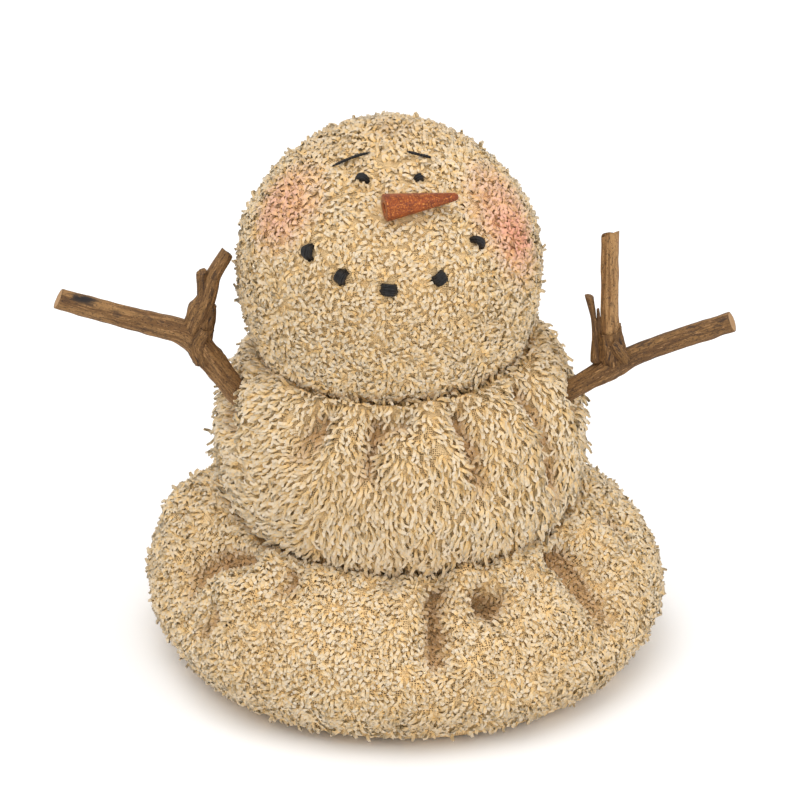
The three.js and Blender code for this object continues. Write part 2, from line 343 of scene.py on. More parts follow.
def tufts(roots, normals, combed, lengths, curl, stray, yarn, chance):
    """Curly ends of yarn: their points as (tuft, step, side, xyz), the normals that they are lit by, and how
    far each point has left the golden painted shade: not at the root, little underneath and wholly on top of
    the tip."""
    count = len(roots)
    steps = np.linspace(0, 1, yarn["steps"] + 1)[None, :, None]
    start = unit(normals * np.where(stray, 1.6, 0.75)[:, None] + combed)
    end = unit(normals * np.where(stray, 0.5, 0.04)[:, None] + combed)
    heading = start[:, None] * (steps - 0.5 * steps ** 2) + end[:, None] * 0.5 * steps ** 2
    middle = roots[:, None] + heading * lengths[:, None, None]
    side = unit(np.cross(normals, combed + 0.01 * chance.normal(size=(count, 3))))
    front = np.cross(side, end)
    phase = chance.uniform(0, 2 * math.pi, count)[:, None, None]
    turns = chance.uniform(*yarn["turns"], count)
    turns = (turns * np.sign(chance.uniform(-1, 1, count)))[:, None, None]
    angle = phase + turns * 2 * math.pi * steps
    swing = curl[:, None, None] * steps ** 0.8
    middle = middle + swing * (np.cos(angle) * side[:, None] + 0.6 * np.sin(angle) * front[:, None])
    middle[:, 0] = roots
    tangent = unit(np.gradient(middle, axis=1))
    across = unit(np.cross(tangent, normals[:, None] + 0.3 * side[:, None]))
    over = np.cross(tangent, across)
    stout = np.interp(steps[0, :, 0], (0, 0.3, 0.75, 1), (0.85, 1.05, 1.1, 0.85))[None, :, None, None]
    radius = yarn["radius"] * MM * chance.uniform(0.8, 1.2, count)[:, None, None, None] * stout
    twist = phase[..., None] + np.arange(YARN_SIDES)[None, None, :, None] * 2 * math.pi / YARN_SIDES
    twist = twist + 1.3 * steps[..., None]
    ring = np.cos(twist) * across[:, :, None] + np.sin(twist) * over[:, :, None]
    outward = np.sum(ring * normals[:, None, None], -1)
    lit = unit((1 - FLUFF) * ring + FLUFF * normals[:, None, None])
    # Painted shade: sides that face into the pile keep more of the golden root colour
    fade = steps * (0.25 + 0.75 * smooth_step(outward, -0.6, 0.45))
    return middle[:, :, None] + radius * ring, lit, fade


CELL_MARGIN = 0.07  # of a tuft's cell in the UV map, on each side


def yarn_mesh(name, places, lit, fade, tone_and_fold_shade):
    """One joined mesh of closed tufts, each with its own cell in the UV map."""
    count, rows, sides = places.shape[:3]
    places = places.copy()
    places[..., 2] = np.maximum(places[..., 2], FLOOR_GAP / 2)
    mesh = bpy.data.meshes.new(name)
    mesh.vertices.add(count * rows * sides)
    mesh.vertices.foreach_set("co", places.astype(np.float32).ravel())
    base = (np.arange(count) * rows * sides)[:, None, None]
    row = np.arange(rows - 1)[None, :, None] * sides
    here = np.arange(sides)[None, None, :]
    there = (here + 1) % sides
    walls = np.stack((base + row + here, base + row + there, base + row + sides + there,
                      base + row + sides + here), -1).reshape(count, -1)
    foot = base[:, 0] + np.arange(sides)[None, ::-1]
    tip = base[:, 0] + (rows - 1) * sides + np.arange(sides)[None, :]
    corners = np.concatenate((walls, foot, tip), 1)
    face_sizes = np.array([4] * (sides * (rows - 1)) + [sides, sides])
    mesh.loops.add(corners.size)
    mesh.loops.foreach_set("vertex_index", corners.astype(np.int32).ravel())
    sizes = np.tile(face_sizes, count)
    mesh.polygons.add(len(sizes))
    mesh.polygons.foreach_set("loop_start", (np.cumsum(sizes) - sizes).astype(np.int32))
    mesh.polygons.foreach_set("loop_total", sizes.astype(np.int32))
    mesh.polygons.foreach_set("use_smooth", np.ones(len(sizes), bool))

    strip = []
    for r in range(rows - 1):
        for s in range(sides):
            strip += [(s, r), (s + 1, r), (s + 1, r + 1), (s, r + 1)]
    cap_low, cap_high = sides + 0.3, sides + 1
    for low in (0, rows - 2):
        strip += [(cap_low, low), (cap_high, low), (cap_high, low + 1)]
    cell = np.array(strip, float) / (sides + 1, rows - 1) * (1 - 2 * CELL_MARGIN) + CELL_MARGIN
    across = int(math.ceil(math.sqrt(count)))
    corner = np.stack((np.arange(count) % across, np.arange(count) // across), -1)
    uv = (corner[:, None] + cell[None]) / across
    layer = mesh.uv_layers.new(name="OFBake")
    layer.data.foreach_set("uv", uv.astype(np.float32).ravel())

    # Red holds how far the painted shade has faded, green a random tone, blue the painted shade of the folds
    marks = np.ones((count, rows, sides, 4), np.float32)
    marks[..., 0] = fade
    marks[..., 1] = tone_and_fold_shade[:, None, None, 0]
    marks[..., 2] = tone_and_fold_shade[:, None, None, 1]
    attribute = mesh.attributes.new("yarn", "FLOAT_COLOR", "POINT")
    attribute.data.foreach_set("color", marks.ravel())
    mesh.update()
    mesh.validate()
    mesh.normals_split_custom_set_from_vertices(lit.reshape(-1, 3))
    piece = bpy.data.objects.new(name, mesh)
    bpy.context.scene.collection.objects.link(piece)
    return piece


DEEP = 1.8 * MM  # below its surroundings, a hollow has its full painted shade


def hollows(grid):
    """How deep each point of a skin lies below its surroundings, from 0 to 1, which sets the pile's painted
    shade there.
    """
    mean = relax(grid.copy(), 60)
    depth = np.sum((mean - grid) * grid_normals(mean), -1)
    return np.clip((depth - np.median(depth)) / DEEP, 0, 1)


def pile(name, tier, solids, yarn, comb, keep, seed):
    """The pile of one skin, split by azimuth into pieces of a size that can be handed on."""
    cloth, grid = tier
    surface = surface_of(cloth)
    chance = np.random.default_rng(seed)
    u, v = sow(grid, yarn["pitch"] * MM, chance)
    normals = unit(on_grid(relax(grid_normals(grid), 5), u, v))
    roots = np.array([surface.find_nearest(Vector(p))[0] for p in on_grid(grid, u, v)])
    painted_fold_shade = on_grid(hollows(grid)[..., None], u, v)[:, 0]
    bald = 1.2 * slow_noise(roots, 5 * MM, seed) + 0.25 * chance.normal(size=len(roots)) > BALD_ABOVE
    chosen = keep(roots, normals) & ~bald
    for solid, depth in solids.items():
        chosen &= ~buried(roots + normals * PILE * 0.8, solid, depth * MM)
    roots, normals, painted_fold_shade = roots[chosen], normals[chosen], painted_fold_shade[chosen]
    direction, lengths, curl = comb(roots, normals, chance)
    stray = chance.uniform(0, 1, len(roots)) < STRAY_SHARE
    lengths = np.where(stray, lengths * 1.15, lengths)
    combed = direction - normals * np.sum(direction * normals, -1, keepdims=True)
    places, lit, fade = tufts(roots, normals, combed, lengths, curl, stray, yarn, chance)
    # Each end's random tone, and the painted shade of the fold it grows in
    tone_and_fold_shade = np.stack((chance.uniform(0, 1, len(roots)), painted_fold_shade), -1)
    triangles = 2 * YARN_SIDES * yarn["steps"] + 2 * (YARN_SIDES - 2)
    parts = int(math.ceil(len(roots) * triangles / PIECE_TRIANGLES))
    centre = roots.mean(0)
    order = np.argsort(np.arctan2(roots[:, 0] - centre[0], roots[:, 1] - centre[1]))
    made = []
    for number, share in enumerate(np.array_split(order, parts)):
        label = name if parts == 1 else f"{name}_{number + 1}"
        made.append(yarn_mesh(label, places[share], lit[share], fade[share], tone_and_fold_shade[share]))
    print(name, len(roots), "tufts in", parts, "with", triangles, "triangles each")
    return made


# ---- Rods: twigs, splinters and threads ----
def blend(first, second, low, high, at):
    """From the first point to the second as at goes from low to high."""
    return (first * (high - at) + second * (at - low)) / (high - low)


def smooth_line(points, step):
    """A smooth curve through the points as (station, xyz), its stations about a step apart."""
    points = np.array(points, float)
    ghosts = np.vstack((2 * points[0] - points[1], points, 2 * points[-1] - points[-2]))
    fine = []
    for i in range(1, len(ghosts) - 2):
        p = ghosts[i - 1:i + 3]
        knots = np.concatenate(([0], np.cumsum(np.linalg.norm(np.diff(p, axis=0), axis=1) ** 0.5)))
        t = np.linspace(knots[1], knots[2], 24, endpoint=False)[:, None]
        a = [blend(p[k], p[k + 1], knots[k], knots[k + 1], t) for k in range(3)]
        b = [blend(a[k], a[k + 1], knots[k], knots[k + 2], t) for k in range(2)]
        fine.append(blend(b[0], b[1], knots[1], knots[2], t))
    fine = np.vstack(fine + [points[-1:]])
    length = np.concatenate(([0], np.cumsum(np.linalg.norm(np.diff(fine, axis=0), axis=1))))
    count = max(3, int(round(length[-1] / step)) + 1)
    stations = np.linspace(0, length[-1], count)
    return np.stack([np.interp(stations, length, fine[:, axis]) for axis in range(3)], -1), length[-1]


def carried_frames(line):
    """Two directions across a line at each station, carried along it without twist."""
    tangent = unit(np.gradient(line, axis=0))
    side = np.cross(tangent[0], (0, 0, 1) if abs(tangent[0][2]) < 0.9 else (1, 0, 0))
    sides = []
    for direction in tangent:
        side = side - direction * (side @ direction)
        side = side / np.linalg.norm(side)
        sides.append(side)
    sides = np.array(sides)
    return tangent, sides, np.cross(tangent, sides)


def rod(name, points, radii, sides, step, swell=None, slants=((0, 0), (0, 0)), round_ends=False):
    """A closed rod along a smooth line, rolled up from a grid. swell(along, around) scales its radius."""
    line, length = smooth_line(points, step)
    tangent, across, over = carried_frames(line)
    caps = np.array((0, 0.5, 0.86))
    share = np.concatenate((caps, np.ones(len(line)), caps[::-1]))
    station = np.concatenate(([0] * 3, np.arange(len(line)), [len(line) - 1] * 3)).astype(int)
    rows = len(share)
    grid = {"x_subdivisions": sides, "y_subdivisions": rows - 1, "size": 2}
    piece = primitive(name, bpy.ops.mesh.primitive_grid_add, **grid)
    flat = points_of(piece)
    row = np.rint((flat[:, 1] + 1) / 2 * (rows - 1)).astype(int)
    turn = (flat[:, 0] + 1) * math.pi
    at = station[row]
    along = at / (len(line) - 1)
    radius = np.interp(along, np.linspace(0, 1, len(radii)), radii) * MM
    if swell is not None:
        radius = radius * swell(along, turn)
    radius = radius * share[row]
    around = np.cos(turn)[:, None] * across[at] + np.sin(turn)[:, None] * over[at]
    places = line[at] + radius[:, None] * around
    for end, which, slant in ((0, row <= 3, slants[0]), (1, row >= rows - 4, slants[1])):
        tilt = radius * (slant[0] * np.cos(turn) + slant[1] * np.sin(turn)) * which
        places = places + tangent[at] * tilt[:, None]
        if round_ends:
            bulge = np.sqrt(np.maximum(0, 1 - share[row] ** 2)) * which * radii[0 if end == 0 else -1] * MM
            places = places + tangent[at] * (bulge * (1 if end else -1))[:, None]
    grain = np.stack((np.cos(turn) * radius, np.sin(turn) * radius, along * length), -1)
    move_points(piece, places)
    mark = piece.data.attributes.new("grain", "FLOAT_VECTOR", "POINT")
    mark.data.foreach_set("vector", grain.astype(np.float32).ravel())
    core = piece.data.attributes.new("cut", "FLOAT", "POINT")
    core.data.foreach_set("value", (1 - share[row]).astype(np.float32))
    piece.data.uv_layers[0].name = "OFBake"
    close_up(piece)
    return piece


def close_up(piece):
    """Merges what touches, turns faces outwards and shades the piece smooth."""
    only(piece)
    bpy.ops.object.mode_set(mode="EDIT")
    bpy.ops.mesh.select_all(action="SELECT")
    bpy.ops.mesh.remove_doubles(threshold=1e-7)
    bpy.ops.mesh.normals_make_consistent(inside=False)
    bpy.ops.object.mode_set(mode="OBJECT")
    bpy.ops.object.shade_smooth()


def joined(name, pieces):
    bpy.ops.object.select_all(action="DESELECT")
    for piece in pieces:
        piece.select_set(True)
    bpy.context.view_layer.objects.active = pieces[0]
    bpy.ops.object.join()
    pieces[0].name = name
    return pieces[0]


# Twigs: centre lines from the root outwards, with the radii along them, in millimetres. A knot is a share of
# the way and a swelling. Worn is how bare the bark is, pale how light the cut ends are, and slant how the
# outer end is cut. Each extra, a lump or a stub, has a centre line, radii and a roughness.
TWIGS = {
    "left_twig_stem": {
        "points": ((-35.6, -14.5, 75), (-44.6, -13.5, 86), (-49.7, -12.5, 92.6), (-56.7, -10.5, 100.3),
                   (-66.1, -9.5, 103), (-79.1, -8.5, 106.3), (-92.1, -7.5, 109.8)),
        "radii": (3.3, 3.3, 3.3, 3.6, 3.1, 3, 2.9), "knots": ((0.36, 0.12),), "worn": 0.35, "pale": 0.8,
        "slant": (0.1, 0.2),
        "extras": ((((-52.6, -13.4, 93.5), (-54, -12.2, 98.5), (-51.6, -11.6, 103)), (2.6, 2.9, 2.2), 0.3),)},
    "left_twig_branch": {
        "points": ((-56.1, -10.5, 100), (-54.1, -10.1, 105.5), (-51.5, -9.5, 111.4), (-49.9, -9, 117),
                   (-45.8, -8.7, 124.5)),
        "radii": (3.2, 3.0, 2.6, 2.1, 1.9), "knots": ((0.3, 0.16),), "worn": 0.15, "pale": 0.15,
        "slant": (-0.3, 0.3), "extras": (
            (((-52, -9.8, 110.5), (-52.7, -9.7, 115), (-52.8, -9.5, 119)), (1.9, 1.5, 1.4), 0.22),
            (((-52.4, -10.8, 100), (-51.4, -10.6, 104.5), (-50.2, -10.2, 108.9)), (2.6, 2.2, 1.2), 0.34))},
    "right_twig_stem": {
        "points": ((41.4, -11.1, 79.5), (49.6, -10.5, 84.5), (58.2, -9.7, 89.6), (66.1, -8.8, 93.5),
                   (78.3, -7.7, 97.9), (92.1, -6.5, 102.3)),
        "radii": (2.9, 2.9, 3, 2.85, 2.85, 2.85), "knots": ((0.34, 0.1),), "worn": 0.1, "pale": 0.8,
        "slant": (-0.2, 0.1), "extras": ()},
    "right_twig_branch": {
        "points": ((59.3, -9.5, 90.5), (58.9, -9.1, 96), (58.6, -8.7, 103), (58.5, -8.3, 116),
                   (58.5, -7.9, 129.6)),
        "radii": (3.2, 3.2, 2.75, 2.45, 2.42, 2.42, 2.42, 2.42, 2.45), "knots": (), "worn": 0.8, "pale": 0.5,
        "slant": (-0.5, -0.45), "extras": (
            (((59, -9.7, 92.5), (58.9, -9.6, 97), (58.7, -9.3, 101.2)), (3.3, 3.7, 2.9), 0.34),
            (((59.2, -12.4, 99), (61, -12.8, 96.5), (62.9, -12.8, 93.4)), (1.2, 1.6, 1.3), 0.34),
            (((56, -9.8, 99), (55.6, -9.4, 103.5), (55.3, -9.1, 107.5)), (0.7, 0.65, 0.35), 0.3))},
    "right_twig_bark": {
        "points": ((54.9, -10.1, 92), (54.7, -10.1, 97), (54.6, -9.9, 101), (54, -9.5, 106),
                   (52.9, -9.1, 111.3)),
        "radii": (1.5, 1.3, 1, 0.85, 0.8, 0.95, 1.2), "knots": (), "worn": 0, "pale": 0.1,
        "slant": (0.2, 0.4), "extras": ()},
}


def bark(knots, length, rough, seed):
    """How bark and its knots swell a twig's radius."""
    def swell(along, turn):
        size = np.ones(len(along))
        lumpy = np.full(len(along), rough)
        for at, much in knots:
            near = np.exp(-((along - at) / 0.07) ** 2)
            size = size + much * near
            lumpy = lumpy + 0.14 * near
        ridges = [noise.noise(Vector((3 * math.cos(t), 3 * math.sin(t), a * length / 6 + seed)))
                  + 0.5 * noise.noise(Vector((7 * math.cos(t), 7 * math.sin(t), a * length / 3 - seed)))
                  for a, t in zip(along, turn)]
        wobble = [noise.noise(Vector((a * length / 5, seed, 0))) for a in along]
        return size * (1 + lumpy * np.array(ridges) + 0.07 * np.array(wobble))
    return swell


def mark(piece, name, value):
    """Stores one value all over a piece, for its finish."""
    made = piece.data.attributes.new(name, "FLOAT", "POINT")
    made.data.foreach_set("value", np.full(len(piece.data.vertices), value, np.float32))


def twig(node, seed):
    """A twig with its knots and stubs, joined."""
    shape = TWIGS[node]
    name = "right_twig_shred" if node == "right_twig_bark" else node + "_bark"
    points = np.array(shape["points"]) * MM
    length = np.linalg.norm(np.diff(points, axis=0), axis=1).sum() / MM
    swell = bark(shape["knots"], length, 0.07, seed)
    piece = rod(name, points, shape["radii"], 40, 0.5 * MM, swell, ((0, 0), shape["slant"]))
    mark(piece, "worn", shape["worn"])
    mark(piece, "pale", shape["pale"])
    parts = [piece]
    for number, (line, radii, rough) in enumerate(shape["extras"]):
        knot = rod(f"{node}_knot_{number}", np.array(line) * MM, radii, 28, 0.4 * MM,
                   bark((), 9, rough, seed + 7 * number + 3), ((0.3, 0.2), (0.3, -0.3)))
        mark(knot, "worn", -0.6)
        mark(knot, "pale", 0)
        parts.append(knot)
    piece = joined(name, parts)
    stand_in(piece, node)
    return piece


# ---- Threads ----
def pad_axes(node):
    """A CAD stitch's middle, and its length, width and outward axes with their extents."""
    points = points_of(nodes[node])
    middle = (points.max(0) + points.min(0)) / 2
    _, _, axes = np.linalg.svd(points - points.mean(0), full_matrices=False)
    long, wide, out = axes
    if out @ (middle - HEAD_CENTRE) < 0:
        out = -out
    spans = [np.ptp((points - middle) @ axis) for axis in (long, wide, out)]
    return middle, long, wide, out, spans


THREAD = 0.32 * MM  # radius of the embroidery thread
STITCH_LAYERS = 3
STITCH_DIP = 1.3 * MM  # how far a thread's ends go down into the cloth
PLY_RADII = (0.14, 0.28, 0.3, 0.24, 0.3, 0.26, 0.1)  # in millimetres, along a brow's thread
PLY_PITCH = 1.6 * MM  # of one turn of a brow's two threads


def sewn(node, strands):
    """Joins the threads of one stitch."""
    piece = joined(node + "_thread", strands)
    stand_in(piece, node)
    return piece


def stitch(node, seed):
    """A short satin stitch: threads side by side that arch over the cloth, each a little out of line."""
    middle, long, wide, out, (length, width, _) = pad_axes(node)
    chance = np.random.default_rng(seed)
    count = max(3, int(round((width - 2 * THREAD) / (1.45 * THREAD))) + 1)
    height = 0.05 if node.startswith("eye") else 0.4
    strands = []
    for number in range(count):
        aside = (number / (count - 1) - 0.5) * (width - 2 * THREAD)
        oval = math.sqrt(max(0.1, 1 - (1.6 * aside / width) ** 2))
        reach = 0.5 * length * oval * chance.uniform(0.84, 1.08)
        top = 0.4 * MM * (1 - (1.7 * aside / width) ** 2) + chance.uniform(height, height + 0.4) * MM
        drift = chance.uniform(-0.12, 0.12) * MM
        for layer in range(STITCH_LAYERS):
            arch = []
            for step in np.linspace(-1, 1, 7):
                rise = top - (top + STITCH_DIP) * abs(step) ** 3.2 - 1.8 * THREAD * layer
                arch.append(middle + long * reach * step * 0.98 + wide * (aside + drift * step) + out * rise)
            name = f"{node}_strand_{layer}_{number}"
            strands.append(rod(name, arch, (THREAD / MM,), 8, 0.3 * MM, round_ends=True))
    return sewn(node, strands)


def brow(node):
    """Two threads twisted together along the CAD brow's line."""
    points = points_of(nodes[node])
    middle = points.mean(0)
    long = np.linalg.svd(points - middle, full_matrices=False)[2][0]
    share = (points - middle) @ long
    stations = np.linspace(share.min(), share.max(), 9)
    line = np.stack([np.polyval(np.polyfit(share, points[:, axis], 3), stations) for axis in range(3)], -1)
    line = line + 0.2 * MM * unit(line - HEAD_CENTRE)
    strands = []
    for ply in (0, 1):
        fine, length = smooth_line(line, 0.35 * MM)
        _, across, over = carried_frames(fine)
        angle = np.linspace(0, length / PLY_PITCH * 2 * math.pi, len(fine)) + ply * math.pi
        twisted = fine + 0.19 * MM * (np.cos(angle)[:, None] * across + np.sin(angle)[:, None] * over)
        strands.append(rod(f"{node}_ply_{ply}", twisted, PLY_RADII, 8, 0.3 * MM, round_ends=True))
    return sewn(node, strands)


# ---- Nose ----
# From the bottom of the drilled hole, round the rim to the tip: radius and height in millimetres.
NOSE_PROFILE = (
    (0, 3), (1.1, 3), (1.33, 2.85), (1.36, 0.3), (1.42, 0.08), (1.6, 0), (3.3, 0), (3.56, 0.06), (3.72, 0.2),
    (3.8, 0.5), (3.66, 1.8), (3.3, 4.5), (2.62, 9.5), (2, 14), (1.42, 18), (1.22, 19.4), (1.05, 20.1),
    (0.7, 20.55), (0.3, 20.7), (0, 20.72),
)
NOSE_LENGTH = NOSE_PROFILE[-1][1]


def nose():
    """The carrot nose, turned on its CAD node's axis: a rounded tip, a soft rim and a drilled blind hole."""
    points = points_of(nodes["carrot_nose"])
    middle = points.mean(0)
    axis = np.linalg.svd(points - middle, full_matrices=False)[2][0]
    if axis[0] < 0:
        axis = -axis
    share = points @ axis
    rim = points[share < share.min() + 0.01 * MM].mean(0)
    length = share.max() - share.min()
    outline = [(across * MM, 0, up * length / NOSE_LENGTH) for across, up in NOSE_PROFILE]
    piece = primitive("carrot_nose_turned", bpy.ops.mesh.primitive_plane_add, size=1)
    bpy.ops.object.mode_set(mode="EDIT")
    bpy.ops.mesh.select_all(action="SELECT")
    bpy.ops.mesh.delete(type="VERT")
    bpy.ops.object.mode_set(mode="OBJECT")
    data = piece.data
    data.vertices.add(len(outline))
    data.vertices.foreach_set("co", np.array(outline, np.float32).ravel())
    data.edges.add(len(outline) - 1)
    for i, edge in enumerate(data.edges):
        edge.vertices = (i, i + 1)
    data.update()
    only(piece)
    bpy.ops.object.mode_set(mode="EDIT")
    bpy.ops.mesh.select_all(action="SELECT")
    bpy.ops.mesh.spin(steps=64, angle=2 * math.pi, center=(0, 0, 0), axis=(0, 0, 1))
    bpy.ops.object.mode_set(mode="OBJECT")
    close_up(piece)
    turn = Vector((0, 0, 1)).rotation_difference(Vector(axis)).to_matrix().to_4x4()
    piece.data.transform(Matrix.Translation(Vector(rim)) @ turn)
    subdivide(piece)
    stand_in(piece, "carrot_nose")
    return piece


# ---- Finishes ----
def colour(red, green, blue):
    """A colour from 0 to 255 as it looks on a screen, turned into light."""
    def light(value):
        value = value / 255
        return value / 12.92 if value <= 0.04045 else ((value + 0.055) / 1.055) ** 2.4
    return light(red), light(green), light(blue), 1


class Signal:
    """A shader socket in an expression: each operator on it adds a Math node."""

    def __init__(self, tree, socket):
        self.tree = tree
        self.socket = socket

    def node(self, kind, settings, inputs, output=0):
        """Adds a node: its type, its settings, then the values or links of its sockets."""
        made = self.tree.nodes.new(kind)
        for setting, value in settings.items():
            if setting == "stops":
                while len(made.color_ramp.elements) < len(value):
                    made.color_ramp.elements.new(1)
                for element, (place, shade) in zip(made.color_ramp.elements, value):
                    element.position = place
                    element.color = shade
            else:
                setattr(made, setting, value)
        for name, value in inputs.items():
            if isinstance(value, Signal):
                self.tree.links.new(value.socket, made.inputs[name])
            else:
                made.inputs[name].default_value = value
        return Signal(self.tree, made.outputs[output])

    def math(self, operation, first, second):
        return self.node("ShaderNodeMath", {"operation": operation}, {0: first, 1: second})

    def __add__(self, other):
        return self.math("ADD", self, other)

    __radd__ = __add__

    def __sub__(self, other):
        return self.math("SUBTRACT", self, other)

    def __rsub__(self, other):
        return self.math("SUBTRACT", other, self)

    def __mul__(self, other):
        return self.math("MULTIPLY", self, other)

    __rmul__ = __mul__

    def __truediv__(self, other):
        return self.math("DIVIDE", self, other)

    def rise(self, low, high):
        """0 below the low value, 1 above the high one, and smooth between."""
        settings = {"interpolation_type": "SMOOTHSTEP"}
        return self.node("ShaderNodeMapRange", settings, {"Value": self, "From Min": low, "From Max": high})

    def mix(self, first, second):
        """From the first colour to the second as this signal goes from 0 to 1."""
        settings = {"data_type": "RGBA", "blend_type": "MIX"}
        return self.node("ShaderNodeMix", settings, {0: self, 6: first, 7: second}, 2)

    def noise(self, scale, detail=3, rough=0.5):
        inputs = {"Vector": self, "Scale": scale, "Detail": detail, "Roughness": rough}
        return self.node("ShaderNodeTexNoise", {}, inputs)

    def stretched(self, scale):
        return self.node("ShaderNodeVectorMath", {"operation": "MULTIPLY"}, {0: self, 1: scale})

    def distance(self, place):
        return self.node("ShaderNodeVectorMath", {"operation": "DISTANCE"}, {0: self, 1: place}, 1)

    def parts(self):
        return [self.node("ShaderNodeSeparateColor", {}, {"Color": self}, output) for output in range(3)]


class Finish:
    """A material with one principled surface. Its constants are set by socket name."""

    def __init__(self, name, **constants):
        self.material = bpy.data.materials.new(name)
        self.material.use_nodes = True
        self.tree = self.material.node_tree
        self.surface = self.tree.nodes["Principled BSDF"]
        for socket, value in constants.items():
            self.surface.inputs[socket.replace("_", " ")].default_value = value
        self.place = Signal(self.tree, self.tree.nodes.new("ShaderNodeTexCoord").outputs["Object"])

    def attribute(self, name, output):
        made = self.tree.nodes.new("ShaderNodeAttribute")
        made.attribute_name = name
        return Signal(self.tree, made.outputs[output])

    def wear(self, socket, signal):
        self.tree.links.new(signal.socket, self.surface.inputs[socket])

    def bump(self, height, strength, depth):
        inputs = {"Height": height, "Strength": strength, "Distance": depth}
        self.wear("Normal", height.node("ShaderNodeBump", {}, inputs))

    def cover(self, pieces):
        for piece in pieces:
            piece.data.materials.clear()
            piece.data.materials.append(self.material)


BLUSH = colour(238, 150, 124)
# Patches of blush: azimuth and elevation on the head in degrees, radius in millimetres, and strength.
BLUSH_PATCHES = ((-64, 34, 13, 0.5), (69, 31, 14, 0.46), (63, 20, 10, 0.25), (66, 10, 9, 0.25))


def blush(place):
    """How strongly the cheeks are tinted: soft patches on the head, uneven at their edges."""
    patchy = place.noise(190, 2)
    amount = 0
    for azimuth, elevation, radius, strength in BLUSH_PATCHES:
        cheek = HEAD_CENTRE + towards(azimuth, elevation) * 40 * MM
        apart = place.distance(tuple(cheek)) / (radius * MM) + (patchy - 0.5) * 0.5
        amount = (1 - apart.rise(0.35, 1.35)) * strength + amount
    return amount


def loop_pile():
    """Cut loops of cream cotton yarn: pale at the tip, golden at the root and underneath as painted shade,
    golden brown deep in the folds as painted shade, each end a little different.
    """
    finish = Finish("loop_pile", Roughness=1, IOR=1.3, Specular_IOR_Level=0.15)
    along, shade, painted_fold_shade = finish.attribute("yarn", "Color").parts()
    # Painted shade: the golden roots stand in for the warm shade deep in the pile
    stops = ((0.0, colour(252, 204, 130)), (0.3, colour(244, 208, 150)), (0.7, colour(223, 205, 176)),
             (1.0, colour(215, 203, 187)))
    yarn = along.node("ShaderNodeValToRGB", {"stops": stops}, {"Fac": along})
    yarn = (shade.rise(0.45, 1) * 0.25).mix(yarn, colour(214, 180, 128))
    yarn = ((1 - shade).rise(0.5, 1) * 0.3).mix(yarn, colour(232, 218, 192))
    # Painted shade: yarn deep in the folds is darkened to golden brown
    yarn = (painted_fold_shade * 0.85).mix(yarn, colour(172, 126, 76))
    clouds = finish.place.noise(28, 2).rise(0.4, 0.7)
    yarn = (clouds * 0.2).mix(yarn, colour(212, 174, 120))
    fuzz = finish.place.noise(2300, 2, 0.6)
    yarn = (fuzz.rise(0.48, 0.66) * 0.3).mix(yarn, colour(232, 188, 124))
    yarn = ((1 - fuzz).rise(0.52, 0.68) * 0.3).mix(yarn, colour(236, 224, 204))
    yarn = (blush(finish.place) * (0.5 + 0.5 * along)).mix(yarn, BLUSH)
    finish.wear("Base Color", yarn)
    finish.bump(fuzz, 0.3, 0.25 * MM)
    return finish


KNIT_ROUND = 560  # knitted stitches round a tier
KNIT_UP = 250  # and from its bottom to its top


def knit_ground():
    """The knitted ground under the pile: rows of stitches with small openings between them, painted dark as
    shade in patches.
    """
    finish = Finish("knit_ground", Roughness=1, IOR=1.3, Specular_IOR_Level=0.15)
    rows = finish.place.node("ShaderNodeUVMap", {"uv_map": "OFBake"}, {}).stretched((KNIT_ROUND, KNIT_UP, 0))
    settings = {"voronoi_dimensions": "2D"}
    cells = rows.node("ShaderNodeTexVoronoi", settings, {"Vector": rows, "Scale": 1, "Randomness": 0.3})
    shaded_opening = 1 - cells.rise(0.2, 0.42)
    wash = finish.place.noise(60, 3)
    cloth = wash.mix(colour(230, 192, 136), colour(238, 208, 162))
    # Slow noise picks the patches where the openings get their painted shade
    worn = finish.place.noise(110, 2).rise(0.44, 0.56)
    cloth = (blush(finish.place) * 0.8).mix(cloth, BLUSH)
    # Painted shade: there the openings are coloured dark brown
    finish.wear("Base Color", (shaded_opening * worn * 0.85).mix(cloth, colour(84, 58, 30)))
    finish.bump(1 - shaded_opening, 0.8, 0.25 * MM)
    return finish


BLACK_STREAK = (-0.0252, -0.0095, 0.1112)  # near the left stem's tip, with its x times 0.3


